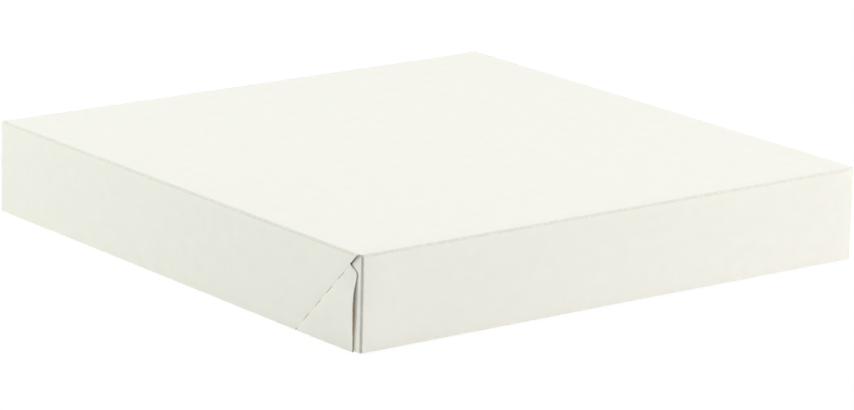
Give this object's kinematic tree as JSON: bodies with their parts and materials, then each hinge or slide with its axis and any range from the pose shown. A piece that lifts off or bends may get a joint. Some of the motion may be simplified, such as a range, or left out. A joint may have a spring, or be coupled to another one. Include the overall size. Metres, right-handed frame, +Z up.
{
  "type": "tart box",
  "caption": "Shallow square white paperboard tart box: a tray with glued infold corners and a hinged lid whose walls cover the tray to its full depth.",
  "frame": {"origin": "middle of the box's footprint, on the surface that it stands on", "axes": "+X along the front wall, +Y from the front wall to the hinge, +Z up"},
  "size_m": [0.258, 0.258, 0.04],
  "materials": {
    "tray_board": "white coated outside, brown kraft inside",
    "lid_board": "white coated outside, brown kraft inside"
  },
  "bodies": {
    "tray": {"tray": "tray_board"},
    "lid": {"lid": "lid_board"}
  },
  "joints": [
    {"name": "lid_hinge", "type": "hinge", "parent": "tray", "child": "lid", "pos_m": [0, 0.12875, 0.03975], "axis": [-1, 0, 0], "range_deg": [0, 188]}
  ]
}
